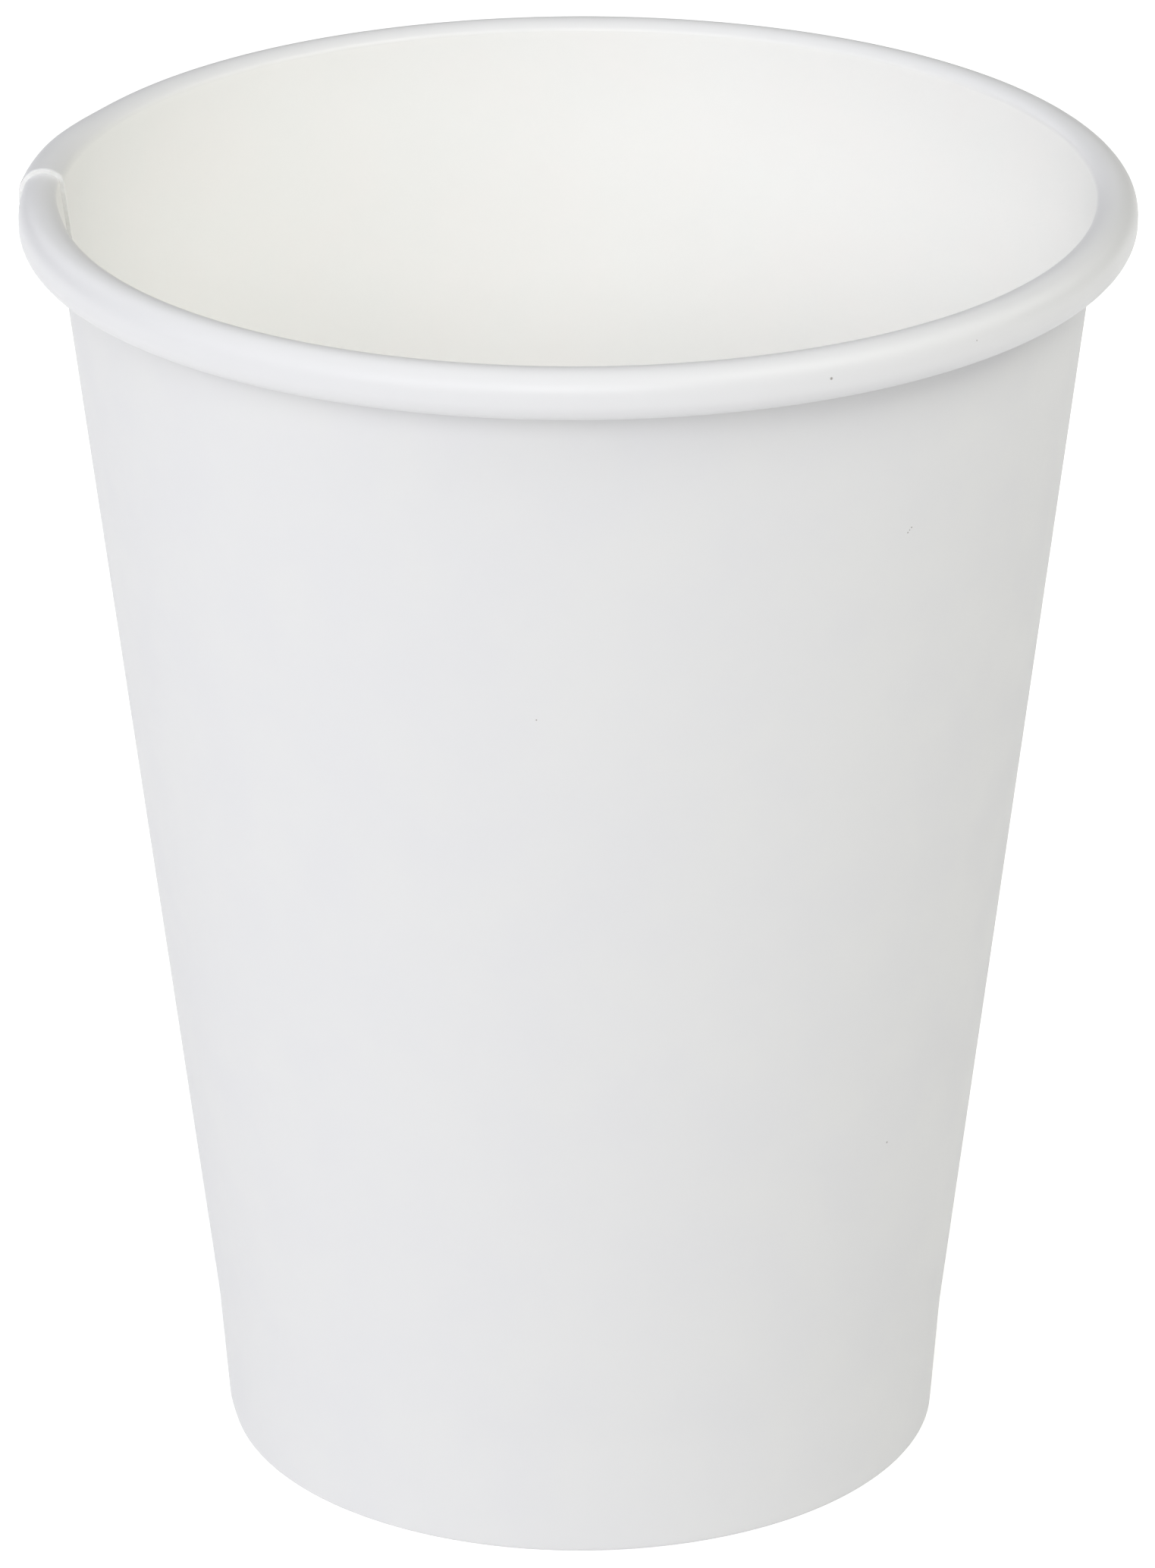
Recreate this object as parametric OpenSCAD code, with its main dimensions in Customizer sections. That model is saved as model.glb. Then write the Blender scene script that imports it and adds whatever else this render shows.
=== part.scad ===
// Single-wall paper coffee cup: a coated board sheet wrapped into a cone, with a lapped
// side seam, a rim rolled outwards, and a foot folded in around the skirt of a drawn base disc.
// Origin: centre of the ring that the cup stands on. +Z up, millimetres.
// Outlines are drawn in the plane of a radius (x) and the height (y), then revolved about Z.

/* [Cup] */
// Height from the table to the top of the rim
cup_h = 108.3; // [80:0.1:140]
// Outer diameter of the rolled rim, which a lid snaps over
rim_d = 90; // [84:0.1:98]
// Outer diameter of the foot, at the table
foot_d = 59.1; // [54:0.1:64]

/* [Board] */
// Thickness of the side wall's board
wall_t = 0.38; // [0.3:0.01:0.5]
// Thickness of the base disc's board
disc_t = 0.36; // [0.3:0.01:0.5]

/* [Rolled rim] */
// Width of the roll, from the inside of the wall to the outside of the rim
roll_w = 3.45; // [3:0.05:4.2]
// Height of the roll
roll_h = 4; // [3.6:0.05:4.6]
// How far the free edge curls on under the top of the roll, in degrees
tail_turn = 75; // [20:5:110]
// Clearance between the wall and the turn of the roll that lies against it
roll_gap = 0.06; // [0.02:0.01:0.2]

/* [Foot] */
// Height of the steeper band that grips the base disc, up to the top of the disc
band_h = 9.9; // [8:0.1:14]
// Outer diameter of the wall at the top of that band
band_d = 60.6; // [58:0.1:65]
// Height of the folded-in hem's cut edge above the table
hem_h = 6.8; // [4:0.1:7.5]
// Radius of the disc's edge, where it turns down into the skirt
disc_edge_r = 1.1; // [0.6:0.1:2]
// Clearance of the glued skirt from the wall, from the hem and from the fold
glue_gap = 0.02; // [0.01:0.01:0.06]

/* [Side seam] */
// Direction of the inner ply's cut edge, in degrees anticlockwise from +X seen from above
seam_at = 175.5; // [0:0.5:359.5]
// Width of the overlap, measured at the rim
seam_w = 7; // [5:0.5:10]
// Width of the stretch beside the overlap in which the single ply settles, at the rim
settle_w = 12; // [6:0.5:16]

/* [Hidden] */

// Smoothness of the turned surfaces, and the angle between the points of an arc
$fn = 44;
arc_step = 15;
// Number of steps in which a ply settles beside the overlap
settle_steps = 2;
// Angle by which neighbouring stretches run into each other, so that they join into one sheet
join = 0.1;

rim_r = rim_d / 2;
foot_r = foot_d / 2;
band_r = band_d / 2;

// Lean of the foot's band from the vertical, and the same for the wall above it
band_lean = atan((band_r - foot_r) / band_h);
wall_lean = atan((rim_r - roll_w - band_r + wall_t) / (cup_h - roll_w / 2 - band_h));

// The seam's angles, from its widths at the rim
seam_turn = seam_w / rim_r * 180 / PI;
settle_turn = settle_w / rim_r * 180 / PI;

// A distance square to the leaning band, taken level instead
function level(distance) = distance / cos(band_lean);

// Inside radius of the foot's band at a height
function band_inside(z) = foot_r - level(wall_t) + z * tan(band_lean);

// Points along an arc about centre c
function arc(c, r, from, to) =
    let (n = ceil(abs(to - from) / arc_step))
    [for (i = [0 : n]) let (a = from + (to - from) * i / n) c + r * [cos(a), sin(a)]];

// Outline of the wall sheet. The sheet is plies thick, its inside lies step further out than
// that of a single ply, and the outside of its roll lies swell further out.
function wall_outline(plies, step, swell) =
    let (
        t = plies * wall_t,
        // Fold of the foot: centres of its two corners, with the skirt held between them
        fold_out = [band_inside(wall_t) + level(step), wall_t],
        fold_in = fold_out - [level(disc_t + 2 * glue_gap + 2 * step), 0],
        spread = [level(t - wall_t), 0],
        hem_top = fold_in + (hem_h - wall_t) * [tan(band_lean), 1],
        // Band and wall, on the inside of the sheet
        bend = [band_inside(band_h) + level(step), band_h],
        top_z = cup_h + (swell - step) / 2,
        lip_r = rim_r + swell,
        mouth_r = bend[0] + (top_z - band_h) * tan(wall_lean),
        // Rolled rim: the top arc meets the wall, and the bottom arc leaves roll_gap beside it
        high = roll_h + swell - step,
        top_r = (lip_r - mouth_r) * cos(wall_lean) / (1 + cos(wall_lean) - sin(wall_lean)),
        low_r = (top_r * (1 + cos(wall_lean)) - t - roll_gap + (high - top_r) * sin(wall_lean))
            / (1 + cos(wall_lean) + sin(wall_lean)),
        top_c = [lip_r - top_r, top_z - top_r],
        low_c = [lip_r - low_r, top_z - high + low_r],
        inward = 180 - wall_lean,
        tail_r = top_r - t - roll_gap,
        tail_end = inward - tail_turn
    )
    concat(
        // Inside of the cup, which becomes the outside of the roll
        [hem_top, fold_in, fold_out, bend],
        arc(top_c, top_r, inward, 0),
        arc(low_c, low_r, 0, inward - 360),
        arc(top_c, tail_r, inward, tail_end),
        // Outside of the cup, back from the free edge of the roll to the cut edge of the hem
        arc(top_c, tail_r - t, tail_end, inward),
        arc(low_c, low_r - t, inward - 360, 0),
        arc(top_c, top_r - t, 0, inward),
        [bend + [level(t), 0]],
        arc(fold_out + spread, wall_t, -band_lean, -90),
        arc(fold_in - spread, wall_t, -90, -180 - band_lean),
        [hem_top - [level(t), 0]]
    );

// Outline of the base disc and its skirt
function disc_outline() =
    let (
        edge_z = band_h - disc_edge_r,
        edge_c = [band_inside(edge_z) - level(glue_gap + disc_edge_r), edge_z],
        skirt_z = wall_t + glue_gap,
        skirt = [band_inside(skirt_z) - level(glue_gap), skirt_z]
    )
    concat(
        [[0, band_h]],
        arc(edge_c, disc_edge_r, 90, -band_lean),
        [skirt, skirt - [level(disc_t), 0]],
        arc(edge_c, disc_edge_r - disc_t, -band_lean, 90),
        [[0, band_h - disc_t]]
    );

// A stretch of the wall between two directions
module stretch(from, to, plies = 1, step = 0, swell = 0) {
    rotate_extrude(angle = to - from + 2 * join, start = from - join)
        polygon(wall_outline(plies, step, swell));
}

// The sheet: one ply nearly all round, and two where its ends lap. One end steps out over the
// other in the wall. The end that is underneath there lies outermost in the roll. Beside the
// overlap a ply goes in steps from its place in it to its place on its own.
module side_wall() {
    seam_end = seam_at - seam_turn;
    turn = settle_turn / settle_steps;
    color([0.91, 0.92, 0.94])
        union() {
            stretch(seam_at + settle_turn, seam_end - settle_turn + 360);
            stretch(seam_end, seam_at, plies = 2, swell = wall_t);
            for (i = [1 : settle_steps]) {
                left_over = wall_t * (1 - i / (settle_steps + 1));
                stretch(seam_at + (i - 1) * turn, seam_at + i * turn, step = left_over);
                stretch(seam_end - i * turn, seam_end - (i - 1) * turn, swell = left_over);
            }
        }
}

// The base: a disc drawn down into a skirt, which the foot's fold holds
module base_disc() {
    color([0.95, 0.93, 0.89])
        rotate_extrude()
            polygon(disc_outline());
}

side_wall();
base_disc();
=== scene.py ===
"""A single-wall paper coffee cup on a pale studio floor.

The side wall is one sheet of coated board, wrapped and lapped at a side seam, rolled outwards
into the rim and folded in at the foot. The base is a drawn disc held in that fold.
Lengths in the classes are millimetres, and every mesh is built in metres around the frame.
"""

import logging
import math
from dataclasses import dataclass, field
from enum import Enum

import bmesh
import bpy
import numpy as np
from mathutils import Matrix, Vector


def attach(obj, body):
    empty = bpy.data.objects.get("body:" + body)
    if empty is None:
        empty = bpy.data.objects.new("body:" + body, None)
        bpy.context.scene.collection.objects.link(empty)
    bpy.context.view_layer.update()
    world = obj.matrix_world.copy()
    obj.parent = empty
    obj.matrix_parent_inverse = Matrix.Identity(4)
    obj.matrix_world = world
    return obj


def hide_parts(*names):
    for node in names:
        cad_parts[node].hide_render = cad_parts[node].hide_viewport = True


LOG = logging.getLogger("paper_cup")
MM = 0.001
FRAME_PX = (1523, 2067)
# Places of the Mix node's sockets that work on colours
MIX_SHARE, MIX_A, MIX_B, MIX_RESULT = 0, 6, 7, 2
# Points along the foot: the hem, and each corner of its fold
HEM_ROWS, FOLD_ROWS = 10, 8
# Points along the wall, as the start and the end of a stretch in shares of its height, and their
# number there. They lie closest together at the soft bend.
WALL_ROWS = ((0, 0.06, 5), (0.06, 0.12, 14), (0.12, 1, 44))
# Points along the roll: the tight bend out of the wall, the top, the bottom and the curled tail
CORNER_ROWS, TOP_ROWS, LOW_ROWS, TAIL_ROWS = 10, 22, 26, 10
# Points along the base's outline: the flat of the disc, and the rounded edge
FLAT_ROWS, EDGE_ROWS = 12, 12
# Angle in degrees past which the edge between two faces is drawn sharp
SHARP = 40
# How finely the noise of the clouds and of the fibres is broken up
CLOUD_NOISE = {"Detail": 3.0, "Roughness": 0.55}
FIBRE_NOISE = {"Detail": 4.0, "Roughness": 0.6}

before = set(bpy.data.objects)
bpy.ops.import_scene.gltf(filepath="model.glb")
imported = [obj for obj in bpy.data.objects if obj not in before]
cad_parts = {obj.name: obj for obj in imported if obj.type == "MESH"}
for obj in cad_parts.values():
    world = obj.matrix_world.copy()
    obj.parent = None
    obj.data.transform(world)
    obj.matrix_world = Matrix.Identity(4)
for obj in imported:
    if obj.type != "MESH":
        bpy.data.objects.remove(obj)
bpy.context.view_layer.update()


def linear(hex_colour: str) -> tuple[float, float, float, float]:
    """Turns an sRGB hex colour into the linear RGBA that a shader socket takes.

    Args:
        hex_colour: six hex digits, such as "e6e8eb".

    Returns:
        Linear red, green and blue, and an alpha of 1.
    """
    channels = [int(hex_colour[i : i + 2], 16) / 255 for i in (0, 2, 4)]
    red, green, blue = (
        c / 12.92 if c <= 0.04045 else ((c + 0.055) / 1.055) ** 2.4 for c in channels
    )
    return red, green, blue, 1.0


def add_node(tree: bpy.types.NodeTree, kind: str, inputs: dict | None = None,
             **settings: object) -> bpy.types.Node:
    """Adds a node with its settings, and sets or links its inputs.

    Args:
        tree: the shader or geometry tree.
        kind: the node's type name.
        inputs: input name or index to a value, or to the output socket that feeds it.
        **settings: the node's own properties.

    Returns:
        The new node.
    """
    node = tree.nodes.new(kind)
    for name, value in settings.items():
        setattr(node, name, value)
    for key, value in (inputs or {}).items():
        if isinstance(value, bpy.types.NodeSocket):
            tree.links.new(value, node.inputs[key])
        else:
            node.inputs[key].default_value = value
    return node


def smooth_step(x: np.ndarray | float) -> np.ndarray | float:
    """Rises smoothly from 0 to 1 as x goes from 0 to 1."""
    x = np.clip(x, 0.0, 1.0)
    return x * x * (3 - 2 * x)


def arc_points(centre: tuple[float, float], radii: tuple[float, float],
               start: float, end: float, count: int) -> np.ndarray:
    """Points along an elliptical arc.

    Args:
        centre: centre of the arc.
        radii: half width and half height.
        start: first angle in degrees.
        end: last angle in degrees.
        count: number of points.

    Returns:
        An array of points, one a row.
    """
    angles = np.radians(np.linspace(start, end, count))
    across = centre[0] + radii[0] * np.cos(angles)
    return np.stack([across, centre[1] + radii[1] * np.sin(angles)], -1)


class Side(Enum):
    """The faces of the sheet, by the index of their material slot."""

    LINING = 0
    OUTSIDE = 1
    RAW_EDGE = 2


@dataclass(frozen=True)
class Fleck:
    """A dark fibre in the board: where it lies and its radius, in millimetres."""

    place: tuple[float, float, float]
    radius: float
    colour: str = "77716a"
    # Share of the radius that is darkest, and how far the fibre hides the board's colour there
    core: float = 0.4
    cover: float = 0.8


@dataclass(frozen=True)
class BoardFinish:
    """Cup board, clouded a little in colour and gloss where its fibres lie unevenly."""

    name: str
    colour: str
    cloud_colour: str
    roughness: float
    # How far the roughness strays, either way, with the clouds
    roughness_stray: float = 0.04
    # Size of the clouds that uneven fibre formation leaves, and the noise values that they span
    cloud_mm: float = 7.0
    cloud_span: tuple[float, float] = (0.35, 0.65)
    # Fibres under the coating. Real ones, 0.03 mm wide, are too fine to show, so these are coarser
    fibre_mm: float = 0.45
    fibre_depth_mm: float = 0.004
    # Greyer, darker colour of the same face, painted over the rim's roll as shade, and None where
    # there is none
    rolled_colour: str | None = None
    ior: float = 1.47
    coat: float = 0.0
    coat_roughness: float = 0.4
    flecks: tuple[Fleck, ...] = ()

    def material(self) -> bpy.types.Material:
        """Builds the material."""
        material = bpy.data.materials.new(self.name)
        material.use_nodes = True
        tree = material.node_tree
        tree.nodes.clear()
        where = add_node(tree, "ShaderNodeTexCoord").outputs["Object"]
        clouds = add_node(tree, "ShaderNodeTexNoise", {
            "Vector": where, "Scale": 1 / (self.cloud_mm * MM), **CLOUD_NOISE})
        share = add_node(tree, "ShaderNodeMapRange", {
            "Value": clouds.outputs["Fac"],
            "From Min": self.cloud_span[0], "From Max": self.cloud_span[1]}).outputs["Result"]
        paint = self._mix(tree, share, linear(self.colour), linear(self.cloud_colour))
        # Painted shade: the roll takes a darker, greyer copy of the face's colour
        if self.rolled_colour:
            roll = add_node(tree, "ShaderNodeAttribute", attribute_name="rolled")
            paint = self._mix(tree, roll.outputs["Fac"], paint, linear(self.rolled_colour))
        for fleck in self.flecks:
            paint = self._fleck(tree, where, paint, fleck)
        fibres = add_node(tree, "ShaderNodeTexNoise", {
            "Vector": where, "Scale": 1 / (self.fibre_mm * MM), **FIBRE_NOISE})
        gloss = add_node(tree, "ShaderNodeMapRange", {
            "Value": share, "To Min": self.roughness - self.roughness_stray,
            "To Max": self.roughness + self.roughness_stray})
        bump = add_node(tree, "ShaderNodeBump", {
            "Height": fibres.outputs["Fac"], "Strength": 1.0, "Distance": self.fibre_depth_mm * MM})
        surface = add_node(tree, "ShaderNodeBsdfPrincipled", {
            "Base Color": paint, "Roughness": gloss.outputs["Result"], "IOR": self.ior,
            "Normal": bump.outputs["Normal"],
            "Coat Weight": self.coat, "Coat Roughness": self.coat_roughness})
        add_node(tree, "ShaderNodeOutputMaterial", {"Surface": surface.outputs["BSDF"]})
        return material

    def _mix(self, tree: bpy.types.NodeTree, share: bpy.types.NodeSocket,
             a: bpy.types.NodeSocket | tuple[float, float, float, float],
             b: tuple[float, float, float, float]) -> bpy.types.NodeSocket:
        """Mixes colour a with the fixed colour b."""
        inputs = {MIX_SHARE: share, MIX_A: a, MIX_B: b}
        return add_node(tree, "ShaderNodeMix", inputs, data_type="RGBA").outputs[MIX_RESULT]

    def _fleck(self, tree: bpy.types.NodeTree, where: bpy.types.NodeSocket,
               paint: bpy.types.NodeSocket, fleck: Fleck) -> bpy.types.NodeSocket:
        """Lays one dark fibre over the colour."""
        away = add_node(tree, "ShaderNodeVectorMath", {0: where, 1: [c * MM for c in fleck.place]},
                        operation="DISTANCE")
        share = add_node(tree, "ShaderNodeMapRange", {
            "Value": away.outputs["Value"], "From Min": fleck.radius * MM,
            "From Max": fleck.core * fleck.radius * MM, "To Max": fleck.cover})
        return self._mix(tree, share.outputs["Result"], paint, linear(fleck.colour))


@dataclass
class Sheet:
    """The side wall's board, from its hem round the fold, up the wall and round the roll.

    The outline of a face of the sheet is given by how deep it lies below the lined face, and by
    lap, the share of a second ply that lies under this one: 1 in the seam and 0 away from it.
    """

    height: float = 108.3
    rim_r: float = 45.0
    foot_r: float = 29.55
    band_r: float = 30.3
    band_h: float = 9.9
    board: float = 0.38
    skirt: float = 0.40
    roll_w: float = 3.45
    roll_h: float = 4.0
    roll_gap: float = 0.06
    tail_turn: float = 75.0
    # Radius of the bend from the wall into the roll, and the direction up to which it runs
    corner_r: float = 0.6
    corner_end: float = 130.0
    # Direction round the roll at which the roll's painted shade is complete
    rolled_at: float = 95.0
    hem_h: float = 6.8
    # Inside radius of the folded corners, how far above their centres the straight stretches begin,
    # and the height over which the bend at the band is spread
    fold_r: float = 0.05
    fold_clear: float = 0.3
    bend_spread: float = 0.45

    def __post_init__(self) -> None:
        """Works out the leans of band and wall, and the direction in which the roll starts."""
        self.band_lean = math.atan((self.band_r - self.foot_r) / self.band_h)
        run = self.rim_r - self.roll_w - self.band_r + self.board
        self.wall_lean = math.atan(run / (self.height - self.roll_w / 2 - self.band_h))
        self.inward = 180 - math.degrees(self.wall_lean)
        self.fold_z = self.board + self.fold_r

    def level(self, distance: float) -> float:
        """A distance square to the leaning band, taken level instead."""
        return distance / math.cos(self.band_lean)

    def band_inside(self, z: np.ndarray | float) -> np.ndarray | float:
        """Inside radius of the foot's band at a height."""
        return self.foot_r - self.level(self.board) + z * math.tan(self.band_lean)

    def wall_inside(self, z: np.ndarray | float) -> np.ndarray | float:
        """Inside radius of the band and of the wall above it, with a soft bend between them."""
        more = math.tan(self.wall_lean) - math.tan(self.band_lean)
        past = np.logaddexp(0, (z - self.band_h) / self.bend_spread)
        return self.band_inside(z) + more * self.bend_spread * past

    def outline(self, depth: float, lap: float) -> np.ndarray:
        """The outline of one face of the sheet, as radius and height.

        Args:
            depth: distance below the lined face of the uppermost ply.
            lap: share of a second ply under this one.

        Returns:
            The points from the hem's cut edge to the roll's free edge.
        """
        top_z = self.height + lap * self.board / 2
        lip = self.rim_r + lap * self.board
        mouth = self.band_inside(self.band_h) + (top_z - self.band_h) * math.tan(self.wall_lean)
        corner, top, wall_end = self._top(depth, lap, lip, mouth, top_z)
        start = self.fold_z + self.fold_clear
        shares = np.unique(np.concatenate([np.linspace(*stretch) for stretch in WALL_ROWS]))
        wall_z = start + shares[:-1] * (wall_end - start)
        wall = np.stack([self.wall_inside(wall_z) + self.level(depth), wall_z], -1)
        return np.concatenate([self._foot(depth, lap), wall, corner, top,
                               self._curl(depth, lap, lip, mouth, top_z)])

    def _foot(self, depth: float, lap: float) -> np.ndarray:
        """The hem and the two corners of the fold that holds the base's skirt."""
        lean = math.degrees(self.band_lean)
        radii = (self.fold_r + depth, self.fold_r + depth / (1 + lap))
        out_c = (self.band_inside(self.fold_z) - self.level(self.fold_r), self.fold_z)
        in_x = self.band_inside(self.fold_z) - self.level(self.skirt) + self.level(self.fold_r)
        hem_z = np.linspace(self.hem_h, self.fold_z + self.fold_clear, HEM_ROWS)
        hem = np.stack([self.band_inside(hem_z) - self.level(self.skirt + depth), hem_z], -1)
        fold_in = arc_points((in_x, self.fold_z), radii, 180 - lean, 270, FOLD_ROWS)
        fold_out = arc_points(out_c, radii, 270, 360 - lean, FOLD_ROWS)
        return np.concatenate([hem, fold_in, fold_out])

    def _top(self, depth: float, lap: float, lip: float, mouth: float,
             top_z: float) -> tuple[np.ndarray, np.ndarray, float]:
        """The top of the roll: a tight bend out of the wall, then a wider arc to the lip.

        Args:
            depth: distance below the lined face of the uppermost ply.
            lap: share of a second ply under this one.
            lip: outer radius of the rim.
            mouth: radius at which the wall's inside would reach the height of the rim's top.
            top_z: height of the rim's top.

        Returns:
            The tight bend, the wider arc, and the height at which the wall ends.
        """
        c, s = math.cos(self.wall_lean), math.sin(self.wall_lean)
        tight = self.corner_r + lap * self.board
        turned = math.radians(self.corner_end)
        wide = ((lip - mouth) * c - tight * (1 + math.cos(turned + self.wall_lean))) / (
            (1 - math.cos(turned)) * c - s * (1 - math.sin(turned)))
        wide_c = (lip - wide, top_z - wide)
        step = wide - tight
        tight_c = (wide_c[0] + step * math.cos(turned), wide_c[1] + step * math.sin(turned))
        corner = arc_points(
            tight_c, (tight - depth,) * 2, self.inward, self.corner_end, CORNER_ROWS)
        top = arc_points(wide_c, (wide - depth,) * 2, self.corner_end, 0, TOP_ROWS)[1:]
        return corner, top, tight_c[1] + tight * s

    def _curl(self, depth: float, lap: float, lip: float, mouth: float, top_z: float) -> np.ndarray:
        """The bottom of the roll, back to the wall, and the free edge curled up inside the roll."""
        c, s = math.cos(self.wall_lean), math.sin(self.wall_lean)
        total = self.board * (1 + lap)
        high = self.roll_h + lap * self.board
        top_r = (lip - mouth) * c / (1 + c - s)
        low_r = (top_r * (1 + c) - total - self.roll_gap + (high - top_r) * s) / (1 + c + s)
        low_c = (lip - low_r, top_z - high + low_r)
        low = arc_points(low_c, (low_r - depth,) * 2, 0, self.inward - 360, LOW_ROWS)
        tail_r = top_r - total - self.roll_gap - depth
        tail = arc_points((lip - top_r, top_z - top_r), (tail_r, tail_r),
                          self.inward, self.inward - self.tail_turn, TAIL_ROWS)
        return np.concatenate([low, tail])

    def rolled(self, count: int) -> np.ndarray:
        """How far each of an outline's points takes the roll's painted shade, from 0 in the wall to
        1.
        """
        angles = np.concatenate([np.linspace(self.inward, self.corner_end, CORNER_ROWS),
                                 np.linspace(self.corner_end, 0, TOP_ROWS)[1:]])
        bend = 1 - np.clip((angles - self.rolled_at) / (self.inward - self.rolled_at), 0, 1) ** 2
        in_curl = LOW_ROWS + TAIL_ROWS
        return np.concatenate([np.zeros(count - len(bend) - in_curl), bend, np.ones(in_curl)])


@dataclass
class SideWall:
    """The wrapped sheet, with its lapped side seam."""

    sheet: Sheet
    # Direction of the lapped-over cut edge, width of the lap at the rim, and how far beside
    # the lap a ply takes to settle on its own
    seam_at: float = 175.5
    lap_w: float = 7.0
    settle_w: float = 12.0
    # How much, and over what angle, the die crushes the corner of a cut edge
    crush: float = 0.05
    crush_turn: float = 0.16
    # Angles of the columns of points beside a cut edge, in degrees
    edge_columns: tuple[float, ...] = (0, 0.07, 0.16, 0.4, 0.8)
    # Where the even columns of the lap begin, their step, and how far past the lap they go on
    next_column: float = 1.3
    settle_step: float = 0.75
    settle_reach: float = 17
    # First step of the single ply's columns, their number, and the gap kept before the next ones
    plain_step: float = 1.2
    plain_columns: int = 210
    column_gap: float = 1

    def columns(self) -> np.ndarray:
        """Angles in degrees along the sheet from its inner cut edge, closer at both ends."""
        lap = math.degrees(self.lap_w / self.sheet.rim_r)
        whole = 360 + lap
        edge = np.array(self.edge_columns)
        near = np.arange(self.next_column, lap + self.settle_reach, self.settle_step)
        plain_end = 360 - self.settle_reach - 2 * self.column_gap
        plain = np.linspace(near[-1] + self.plain_step, plain_end, self.plain_columns)
        far = np.arange(plain_end + self.column_gap, whole - self.column_gap, self.settle_step)
        return np.concatenate([edge, near, plain, far, whole - edge[::-1]])

    def build(self, materials: dict[Side, bpy.types.Material]) -> bpy.types.Object:
        """Builds the sheet as one closed mesh.

        Args:
            materials: the material of each side of the sheet.

        Returns:
            The side wall.
        """
        angles = self.columns()
        lap_turn = math.degrees(self.lap_w / self.sheet.rim_r)
        settle = math.degrees(self.settle_w / self.sheet.rim_r)
        inner, outer = [], []
        for angle in angles:
            under = 1 - smooth_step((angle - lap_turn) / settle)
            over = smooth_step((angle - 360 + settle) / settle)
            lap = float(over if over > 0 else under)
            depth = float(over) * self.sheet.board
            # Each cut edge is crushed only on the side that the other ply leaves free
            pressed = self.crush * (1 - smooth_step(angle / self.crush_turn))
            lifted = self.crush * (1 - smooth_step((angles[-1] - angle) / self.crush_turn))
            turn = math.radians(self.seam_at - angle)
            faces = (inner, depth + pressed), (outer, depth + self.sheet.board - lifted)
            for rows, face in faces:
                radius, height = self.sheet.outline(face, lap).T
                x, y = radius * math.cos(turn), radius * math.sin(turn)
                rows.append(np.stack([x, y, height], -1))
        inner_grid, outer_grid = np.array(inner), np.array(outer)
        obj = closed_sheet("cup_wall", inner_grid, outer_grid, materials)
        # How far each point takes the roll's painted shade
        share = np.tile(self.sheet.rolled(inner_grid.shape[1]), len(angles) * 2)
        rolled = obj.data.attributes.new("rolled", "FLOAT", "POINT")
        rolled.data.foreach_set("value", share.astype(np.float32))
        return obj


def closed_sheet(name: str, inner: np.ndarray, outer: np.ndarray,
                 materials: dict[Side, bpy.types.Material]) -> bpy.types.Object:
    """Joins two grids of points into one closed sheet with cut edges all round.

    Args:
        name: the piece's name.
        inner: the lined face, columns by rows by three, in millimetres.
        outer: the other face.
        materials: the material of each side of the sheet.

    Returns:
        The piece, with normals outwards and a UV map that is the flat blank in metres.
    """
    columns, rows = inner.shape[:2]
    points = np.concatenate([inner.reshape(-1, 3), outer.reshape(-1, 3)]) * MM
    at = np.arange(columns * rows).reshape(columns, rows)
    under = at + columns * rows
    a, b, c, d = at[:-1, :-1], at[1:, :-1], at[1:, 1:], at[:-1, 1:]
    lining = np.stack([a, b, c, d], -1).reshape(-1, 4)
    outside = (np.stack([d, c, b, a], -1) + columns * rows).reshape(-1, 4)
    cuts = [
        np.stack([at[0, :-1], at[0, 1:], under[0, 1:], under[0, :-1]], -1),
        np.stack([at[-1, 1:], at[-1, :-1], under[-1, :-1], under[-1, 1:]], -1),
        np.stack([at[1:, 0], at[:-1, 0], under[:-1, 0], under[1:, 0]], -1),
        np.stack([at[:-1, -1], at[1:, -1], under[1:, -1], under[:-1, -1]], -1),
    ]
    faces = np.concatenate([lining, outside, *cuts])
    sides = np.full(len(faces), Side.RAW_EDGE.value)
    sides[: len(lining)] = Side.LINING.value
    sides[len(lining): len(lining) + len(outside)] = Side.OUTSIDE.value

    mesh = bpy.data.meshes.new(name)
    mesh.from_pydata(points.tolist(), [], faces.tolist())
    for side in Side:
        mesh.materials.append(materials[side])
    mesh.polygons.foreach_set("material_index", sides.astype(np.int32))
    lengths = [np.linalg.norm(np.diff(inner, axis=axis), axis=-1).cumsum(axis) for axis in (0, 1)]
    along = np.concatenate([np.zeros((1, rows)), lengths[0]])
    up = np.concatenate([np.zeros((columns, 1)), lengths[1]], 1)
    flat = np.stack([along, up], -1).reshape(-1, 2) * MM
    flat = np.concatenate([flat, flat])
    layer = mesh.uv_layers.new(name="blank")
    layer.data.foreach_set("uv", flat[faces.reshape(-1)].astype(np.float32).reshape(-1))
    mesh.polygons.foreach_set("use_smooth", np.ones(len(faces), bool))
    mesh.update()
    mesh.set_sharp_from_angle(angle=math.radians(SHARP))
    obj = bpy.data.objects.new(name, mesh)
    bpy.context.scene.collection.objects.link(obj)
    turn_outwards(obj)
    return obj


def turn_outwards(obj: bpy.types.Object) -> None:
    """Recalculates the normals of a closed mesh so that they point outwards."""
    work = bmesh.new()
    work.from_mesh(obj.data)
    bmesh.ops.recalc_face_normals(work, faces=work.faces)
    work.to_mesh(obj.data)
    work.free()


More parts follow.
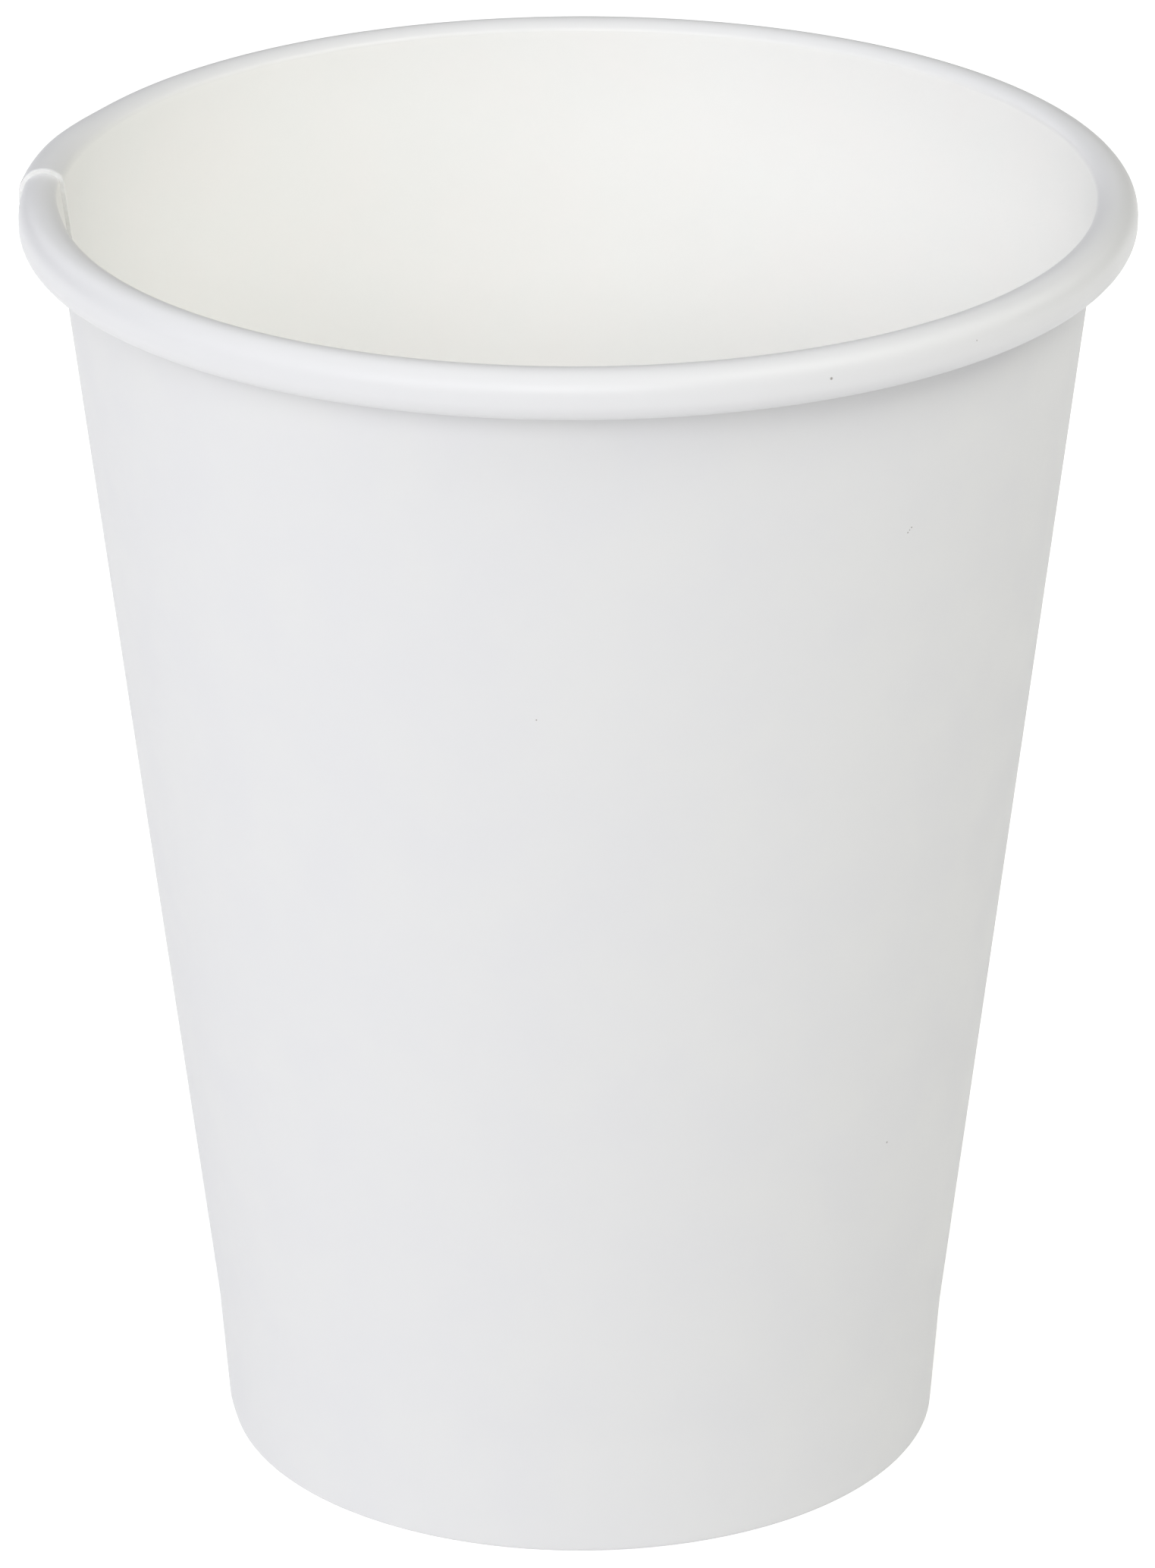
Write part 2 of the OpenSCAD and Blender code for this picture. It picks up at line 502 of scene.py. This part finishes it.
class GeometryTree:
    """A geometry node tree with named inputs, run once on an object."""

    def __init__(self, name: str, inputs: dict[str, tuple[str, object]]) -> None:
        """Makes the tree.

        Args:
            name: the tree's name.
            inputs: input name to its socket type and its value.
        """
        self.tree = bpy.data.node_groups.new(name, "GeometryNodeTree")
        self.values = inputs
        face = self.tree.interface
        face.new_socket("Geometry", in_out="INPUT", socket_type="NodeSocketGeometry")
        for label, (kind, _) in inputs.items():
            face.new_socket(label, in_out="INPUT", socket_type=kind)
        face.new_socket("Geometry", in_out="OUTPUT", socket_type="NodeSocketGeometry")
        self.source = add_node(self.tree, "NodeGroupInput").outputs

    def add(self, kind: str, inputs: dict | None = None, **settings) -> bpy.types.Node:
        """Adds a node to the tree."""
        return add_node(self.tree, kind, inputs, **settings)

    def reckon(self, operation: str, a: object, b: object = 0.0) -> bpy.types.NodeSocket:
        """Adds a sum on two numbers or sockets, and returns its result."""
        return self.add("ShaderNodeMath", {0: a, 1: b}, operation=operation).outputs[0]

    def finish(self, geometry: bpy.types.NodeSocket, material: bpy.types.Material) -> None:
        """Ends the tree with its instances made real and its material set."""
        real = self.add("GeometryNodeRealizeInstances", {"Geometry": geometry})
        dressed = self.add("GeometryNodeSetMaterial", {
            "Geometry": real.outputs["Geometry"], "Material": material})
        self.add("NodeGroupOutput", {"Geometry": dressed.outputs["Geometry"]})

    def run(self, obj: bpy.types.Object) -> None:
        """Replaces an object's mesh with the tree's result, and leaves no modifier on it."""
        modifier = obj.modifiers.new(self.tree.name, "NODES")
        modifier.node_group = self.tree
        for item in self.tree.interface.items_tree:
            if item.in_out == "INPUT" and item.name in self.values:
                modifier[item.identifier] = self.values[item.name][1]
        evaluated = obj.evaluated_get(bpy.context.evaluated_depsgraph_get())
        mesh = bpy.data.meshes.new_from_object(evaluated)
        obj.modifiers.remove(modifier)
        obj.data = mesh
        mesh.name = obj.name


def polyline(name: str, points: np.ndarray) -> bpy.types.Object:
    """An object whose mesh is a chain of points, given in millimetres."""
    mesh = bpy.data.meshes.new(name)
    edges = [(i, i + 1) for i in range(len(points) - 1)]
    mesh.from_pydata((points * MM).tolist(), edges, [])
    obj = bpy.data.objects.new(name, mesh)
    bpy.context.scene.collection.objects.link(obj)
    return obj


@dataclass
class BaseDisc:
    """The drawn base: a disc with a rounded edge and a skirt that the foot's fold grips."""

    sheet: Sheet
    board: float = 0.36
    edge_r: float = 1.1
    glue: float = 0.02
    segments: int = 192
    # Distance within which points are one, at the axis and where the ends of the turn meet
    merge: float = 0.001

    def outline(self) -> np.ndarray:
        """The closed outline of the disc and skirt, from the axis out and back."""
        sheet, lean = self.sheet, math.degrees(self.sheet.band_lean)
        top = sheet.band_h
        edge_z = top - self.edge_r
        centre = (sheet.band_inside(edge_z) - sheet.level(self.glue + self.edge_r), edge_z)
        foot_z = sheet.board + self.glue
        foot_x = sheet.band_inside(foot_z) - sheet.level(self.glue)
        inner_r = self.edge_r - self.board
        flat = np.linspace(0, centre[0], FLAT_ROWS)[:-1]
        points = np.concatenate([
            np.stack([flat, np.full_like(flat, top)], -1),
            arc_points(centre, (self.edge_r,) * 2, 90, -lean, EDGE_ROWS),
            [(foot_x, foot_z), (foot_x - sheet.level(self.board), foot_z)],
            arc_points(centre, (inner_r,) * 2, -lean, 90, EDGE_ROWS),
            np.stack([flat[::-1], np.full_like(flat, top - self.board)], -1),
        ])
        return np.stack([points[:, 0], np.zeros(len(points)), points[:, 1]], -1)

    def build(self, material: bpy.types.Material) -> bpy.types.Object:
        """Turns the outline about the axis with geometry nodes.

        Args:
            material: the base board's finish.

        Returns:
            The base.
        """
        points = self.outline()
        obj = polyline("cup_base", points)
        rule = GeometryTree("turned_disc", {
            "Segments": ("NodeSocketInt", self.segments), "Points": ("NodeSocketInt", len(points))})
        segments, rows = rule.source["Segments"], rule.source["Points"]
        grid = rule.add("GeometryNodeMeshGrid", {
            "Vertices X": rule.reckon("ADD", segments, 1.0), "Vertices Y": rows})
        index = rule.add("GeometryNodeInputIndex").outputs[0]
        column = rule.reckon("FLOOR", rule.reckon("DIVIDE", index, rows))
        place = rule.add("GeometryNodeInputPosition").outputs[0]
        sample = rule.add("GeometryNodeSampleIndex", {
            "Geometry": rule.source["Geometry"], "Value": place,
            "Index": rule.reckon("MODULO", index, rows)},
            data_type="FLOAT_VECTOR", domain="POINT")
        turn = rule.reckon("MULTIPLY", rule.reckon("DIVIDE", column, segments), math.tau)
        turned = rule.add("ShaderNodeVectorRotate", {
            "Vector": sample.outputs[0], "Angle": turn}, rotation_type="Z_AXIS")
        placed = rule.add("GeometryNodeSetPosition", {
            "Geometry": grid.outputs["Mesh"], "Position": turned.outputs[0]})
        merged = rule.add("GeometryNodeMergeByDistance", {
            "Geometry": placed.outputs["Geometry"], "Distance": self.merge * MM})
        smooth = rule.add("GeometryNodeSetShadeSmooth", {"Geometry": merged.outputs["Geometry"]})
        rule.finish(smooth.outputs["Geometry"], material)
        rule.run(obj)
        turn_outwards(obj)
        obj.data.set_sharp_from_angle(angle=math.radians(SHARP))
        return obj


@dataclass
class HemKnurl:
    """The ribs that the heated knurling wheel leaves on the folded-in hem."""

    sheet: Sheet
    count: int = 120
    rib_w: float = 0.75
    rib_proud: float = 0.07
    # Depth of a rib's back in the board, and the length over which its ends run out
    sunk: float = 0.03
    run_out: float = 0.35
    bottom: float = 1.0
    top: float = 6.2
    # Directions of the points across a rib, and the angle past which an edge is sharp, in degrees
    across: tuple[float, ...] = (-90, -45, 0, 45, 90)
    sharp: float = 50

    def build(self, material: bpy.types.Material) -> bpy.types.Object:
        """Sets one rib many times round the hem with geometry nodes.

        Args:
            material: the outside finish, which faces inwards on the hem.

        Returns:
            The ribs, as one piece.
        """
        sheet, middle = self.sheet, (self.bottom + self.top) / 2
        radius = sheet.band_inside(middle) - sheet.level(sheet.skirt + sheet.board)
        obj = self._rib("hem_knurl")
        rule = GeometryTree("knurled_ring", {
            "Count": ("NodeSocketInt", self.count), "Radius": ("NodeSocketFloat", radius * MM),
            "Height": ("NodeSocketFloat", middle * MM),
            "Lean": ("NodeSocketFloat", sheet.band_lean)})
        ring = rule.add("GeometryNodeMeshCircle", {
            "Vertices": rule.source["Count"], "Radius": rule.source["Radius"]})
        lift = rule.add("ShaderNodeCombineXYZ", {"Z": rule.source["Height"]})
        raised = rule.add("GeometryNodeSetPosition", {
            "Geometry": ring.outputs["Mesh"], "Offset": lift.outputs[0]})
        place = rule.add("GeometryNodeInputPosition").outputs[0]
        outward = rule.add("ShaderNodeVectorMath", {0: place, 1: (1.0, 1.0, 0.0)},
                           operation="MULTIPLY")
        facing = rule.add("FunctionNodeAlignRotationToVector", {"Vector": outward.outputs[0]},
                          axis="X", pivot_axis="Z")
        lean = rule.add("ShaderNodeCombineXYZ", {"Y": rule.source["Lean"]})
        tilted = rule.add("FunctionNodeRotateRotation", {
            "Rotation": facing.outputs["Rotation"], "Rotate By": lean.outputs[0]},
            rotation_space="LOCAL")
        ribs = rule.add("GeometryNodeInstanceOnPoints", {
            "Points": raised.outputs["Geometry"], "Instance": rule.source["Geometry"],
            "Rotation": tilted.outputs["Rotation"]})
        rule.finish(ribs.outputs["Instances"], material)
        rule.run(obj)
        return obj

    def _rib(self, name: str) -> bpy.types.Object:
        """One rib about its own middle: a shallow round ridge that tapers out at both ends."""
        half = (self.top - self.bottom) / 2
        heights = np.array([-half, -half + self.run_out, half - self.run_out, half])
        proud = np.array([-self.sunk, self.rib_proud, self.rib_proud, -self.sunk])
        across = np.radians(self.across)
        rings, wide = len(heights), len(across)
        rows = []
        for z, rise in zip(heights, proud):
            x = -rise * np.cos(across) + self.sunk * (1 - np.cos(across))
            rows.append(np.stack([x, self.rib_w / 2 * np.sin(across), np.full(wide, z)], -1))
        front = [tuple(wide * r + c + k for k in (0, 1, wide + 1, wide))
                 for r in range(rings - 1) for c in range(wide - 1)]
        first, last = range(0, wide * rings, wide), range(wide - 1, wide * rings, wide)
        back = [tuple(first) + tuple(reversed(last))]
        ends = [tuple(reversed(range(wide))), tuple(range(wide * (rings - 1), wide * rings))]
        mesh = bpy.data.meshes.new(name)
        mesh.from_pydata((np.concatenate(rows) * MM).tolist(), [], front + back + ends)
        obj = bpy.data.objects.new(name, mesh)
        bpy.context.scene.collection.objects.link(obj)
        turn_outwards(obj)
        mesh.polygons.foreach_set("use_smooth", np.ones(len(mesh.polygons), bool))
        mesh.set_sharp_from_angle(angle=math.radians(self.sharp))
        return obj


@dataclass
class PhotoCamera:
    """The photograph's viewpoint, in millimetres and degrees, and its focal length in pixels."""

    place: tuple[float, float, float] = (0.0, -695.1, 347.5)
    pitch: float = 22.757
    yaw: float = -0.017
    roll: float = -0.18
    focal_px: float = 12029.0
    sensor_mm: float = 36.0
    # Nearest and farthest distance in view, in metres
    clip: tuple[float, float] = (0.01, 100.0)

    def build(self) -> bpy.types.Object:
        """Makes the camera and gives it to the scene."""
        data = bpy.data.cameras.new("photo_camera")
        data.sensor_width = self.sensor_mm
        data.lens = self.focal_px / max(FRAME_PX) * self.sensor_mm
        data.clip_start, data.clip_end = self.clip
        pitch, yaw, roll = (math.radians(a) for a in (self.pitch, self.yaw, self.roll))
        level = math.cos(pitch)
        ahead = Vector((math.sin(yaw) * level, math.cos(yaw) * level, -math.sin(pitch)))
        right = Vector((math.cos(yaw), -math.sin(yaw), 0.0))
        facing = Matrix((right, right.cross(ahead), -ahead)).transposed().to_4x4()
        camera = bpy.data.objects.new("photo_camera", data)
        place = Matrix.Translation(Vector(self.place) * MM)
        camera.matrix_world = place @ facing @ Matrix.Rotation(roll, 4, "Z")
        bpy.context.scene.collection.objects.link(camera)
        bpy.context.scene.camera = camera
        return camera


# The faint tints of the light from the left and from the right
COOL, WARM = "f9faff", "fffff7"


@dataclass(frozen=True)
class SoftLight:
    """A square softbox that faces the cup's middle.

    The bearing is in degrees seen from above, 0 from the viewer's side and positive to the right.
    """

    name: str
    bearing: float
    elevation: float
    watts: float
    colour: str = "ffffff"
    size: float = 1.0
    distance: float = 2.0

    def build(self, target: Vector) -> bpy.types.Object:
        """Makes the light.

        Args:
            target: the point that it faces, in metres.

        Returns:
            The light.
        """
        data = bpy.data.lights.new(self.name, "AREA")
        data.shape, data.size = "SQUARE", self.size
        data.energy = self.watts
        data.color = linear(self.colour)[:3]
        bearing, rise = math.radians(self.bearing), math.radians(self.elevation)
        level = math.cos(rise)
        aside = Vector((math.sin(bearing) * level, -math.cos(bearing) * level, math.sin(rise)))
        aside *= self.distance
        light = bpy.data.objects.new(self.name, data)
        light.location = target + aside
        light.rotation_euler = aside.to_track_quat("Z", "Y").to_euler()
        bpy.context.scene.collection.objects.link(light)
        return light


@dataclass
class Studio:
    """The pale floor and the soft light round it."""

    # Width in metres, colour, roughness and own light of the floor
    floor_size: float = 8.0
    floor_colour: str = "f4f4f4"
    floor_roughness: float = 0.9
    floor_glow: float = 0.38
    # Soft light from below, at the left and at the right, in place of what the floor would throw up
    under: tuple[float, float] = (1.476, 0.951)
    lights: tuple[SoftLight, ...] = field(default_factory=lambda: (
        SoftLight("front", 0, 30, 12.8),
        SoftLight("top", 0, 89, 2.7),
        SoftLight("front_left", -35, 24, 6.2, COOL),
        SoftLight("left_wide", -60, 45, 25.6, COOL, size=3.0),
        SoftLight("left", -80, 20, 2.1, COOL),
        SoftLight("back_left", -140, 30, 4.4, COOL),
        SoftLight("back_left_high", -140, 60, 2.7, COOL),
        SoftLight("right_high", 60, 50, 13.9, WARM),
        SoftLight("right", 80, 20, 2.7, WARM),
        SoftLight("far_right", 110, 35, 6.1, WARM),
    ))
    middle: tuple[float, float, float] = (0.0, 0.0, 0.06)

    def build(self) -> None:
        """Makes the floor, the world and the lights."""
        bpy.context.scene.view_settings.view_transform = "Standard"
        bpy.ops.mesh.primitive_plane_add(size=self.floor_size)
        floor = bpy.context.object
        floor.name = "floor"
        material = bpy.data.materials.new("white_paper_sweep")
        material.use_nodes = True
        tree = material.node_tree
        tree.nodes.clear()
        surface = add_node(tree, "ShaderNodeBsdfPrincipled", {
            "Base Color": linear(self.floor_colour), "Roughness": self.floor_roughness,
            "Emission Color": (1.0, 1.0, 1.0, 1.0), "Emission Strength": self.floor_glow})
        add_node(tree, "ShaderNodeOutputMaterial", {"Surface": surface.outputs["BSDF"]})
        floor.data.materials.append(material)
        # The table in the photograph throws up more light at the left than an even floor would, so
        # the floor lights nothing, and the world does it instead
        floor.visible_diffuse = floor.visible_shadow = False
        bpy.context.scene.world = self._surround()
        for light in self.lights:
            light.build(Vector(self.middle))

    def _surround(self) -> bpy.types.World:
        """The world: dark above the horizon, and below it a light that fades to the right."""
        world = bpy.data.worlds.new("studio_surround")
        world.use_nodes = True
        tree = world.node_tree
        tree.nodes.clear()
        towards = add_node(tree, "ShaderNodeTexCoord").outputs["Generated"]
        parts = add_node(tree, "ShaderNodeSeparateXYZ", {"Vector": towards})
        across = add_node(tree, "ShaderNodeMapRange", {
            "Value": parts.outputs["X"], "From Min": -1.0, "From Max": 1.0,
            "To Min": self.under[0], "To Max": self.under[1]})
        below = add_node(tree, "ShaderNodeMath", {0: parts.outputs["Z"], 1: 0.0},
                         operation="LESS_THAN")
        strength = add_node(tree, "ShaderNodeMath", {
            0: across.outputs["Result"], 1: below.outputs["Value"]}, operation="MULTIPLY")
        light = add_node(tree, "ShaderNodeBackground", {"Strength": strength.outputs["Value"]})
        add_node(tree, "ShaderNodeOutputWorld", {"Surface": light.outputs["Background"]})
        return world


# Dark fibres that the photograph shows in the board
WALL_FLECKS = (
    Fleck((25.67, -30.59, 89.95), 0.09),
    Fleck((25.81, -30.50, 90.13), 0.07),
    Fleck((25.96, -30.40, 90.31), 0.09),
    Fleck((24.89, -21.86, 33.40), 0.11),
    Fleck((-3.38, -38.27, 77.38), 0.08),
)
RIM_FLECKS = (Fleck((19.30, -40.65, 106.48), 0.15), Fleck((30.74, -32.85, 106.70), 0.08))
# Clay-coated, calendered cup board: matt and plain white, with faint clouds and a few dark fibres
OUTSIDE = BoardFinish("clay_coated_board", "dbdbdb", "dadadb", 0.6, flecks=WALL_FLECKS)
# Board with an extruded polythene lining: satin and ivory inside the cup; on the rim a greyer,
# cooler colour is painted over the roll as shade
LINING = BoardFinish("polythene_lined_board", "f6f5f3", "f5f5f3", 0.42, fibre_depth_mm=0.003,
                     rolled_colour="dadadb", coat=0.08, flecks=RIM_FLECKS)
# Die-cut board edge: bare fibres, rough and lighter than the rim that they cross
CUT = BoardFinish("cut_board_edge", "ebebea", "e3e3e1", 0.9, cloud_mm=0.6, fibre_mm=0.12,
                  fibre_depth_mm=0.03)
# Polythene-lined base stock: satin and a little yellower than the wall
BASE = BoardFinish("polythene_lined_base", "f5f4f2", "f4f3f0", 0.45, fibre_depth_mm=0.003,
                   coat=0.08)


@dataclass
class PaperCup:
    """The whole cup, dressed and tied to the frame."""

    sheet: Sheet = field(default_factory=Sheet)

    def build(self) -> list[bpy.types.Object]:
        """Builds the wall, the base and the knurled hem.

        Returns:
            The pieces.
        """
        outside = OUTSIDE.material()
        sides = {Side.LINING: LINING.material(), Side.OUTSIDE: outside,
                 Side.RAW_EDGE: CUT.material()}
        wall = SideWall(self.sheet).build(sides)
        base = BaseDisc(self.sheet).build(BASE.material())
        knurl = HemKnurl(self.sheet).build(outside)
        for piece, slot in ((wall, "wall_board"), (base, "base_board"), (knurl, "wall_board")):
            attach(piece, "root")
        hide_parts("side_wall")
        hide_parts("base_disc")
        return [wall, base, knurl]


def main() -> None:
    """Builds the camera, the cup and the studio, and reports each piece."""
    logging.basicConfig(level=logging.INFO, format="%(message)s")
    PhotoCamera().build()
    for piece in PaperCup().build():
        piece.data.calc_loop_triangles()
        LOG.info("%s: %d triangles", piece.name, len(piece.data.loop_triangles))
    Studio().build()


if __name__ == "__main__":
    main()
